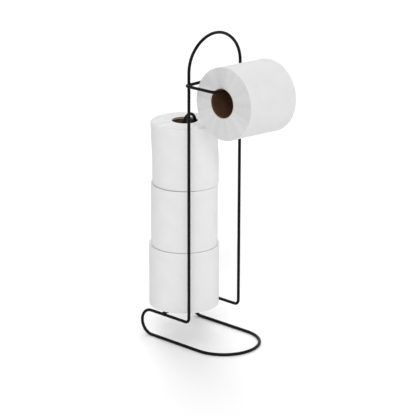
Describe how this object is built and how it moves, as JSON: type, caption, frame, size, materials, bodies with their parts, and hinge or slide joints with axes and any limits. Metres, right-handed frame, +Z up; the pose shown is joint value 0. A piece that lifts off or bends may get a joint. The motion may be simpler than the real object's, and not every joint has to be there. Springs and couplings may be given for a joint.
{
  "type": "toilet paper holder",
  "caption": "Free-standing bent-wire stand with a paper roll hanging on its arm and spare rolls stacked on a post over its looped base.",
  "frame": {"origin": "on the floor, midway between the two uprights and in the plane of the arch", "axes": "+Z up; +X along the arch's width, towards the side the roll bar points to; -Y to the front, over the floor loop"},
  "size_m": [0.1307, 0.235, 0.4979],
  "materials": {
    "black_wire": "satin black powder coat",
    "tissue": "soft matte tissue",
    "core_board": "matte brown board"
  },
  "bodies": {
    "stand": {"frame_wire": "black_wire", "roll_arm": "black_wire", "spare_roll_post": "black_wire", "arm_welds": "black_wire", "post_welds": "black_wire"},
    "hanging_roll": {"hanging_roll_core": "core_board", "hanging_roll_paper": "tissue"},
    "bottom_spare_roll": {"bottom_spare_roll_core": "core_board", "bottom_spare_roll_paper": "tissue"},
    "middle_spare_roll": {"middle_spare_roll_core": "core_board", "middle_spare_roll_paper": "tissue"},
    "top_spare_roll": {"top_spare_roll_core": "core_board", "top_spare_roll_paper": "tissue"}
  },
  "joints": [
    {"name": "hanging_roll_spin", "type": "hinge", "parent": "stand", "child": "hanging_roll", "pos_m": [-0.04969, -0.0611, 0.40575], "axis": [0.9994, 0, -0.0349], "continuous": true},
    {"name": "bottom_roll_lift", "type": "slide", "parent": "stand", "child": "bottom_spare_roll", "axis": [0, 0, 1], "range_m": [0, 0.32]},
    {"name": "middle_roll_lift", "type": "slide", "parent": "bottom_spare_roll", "child": "middle_spare_roll", "axis": [0, 0, 1], "range_m": [0, 0.22]},
    {"name": "top_roll_lift", "type": "slide", "parent": "middle_spare_roll", "child": "top_spare_roll", "axis": [0, 0, 1], "range_m": [0, 0.12]}
  ]
}
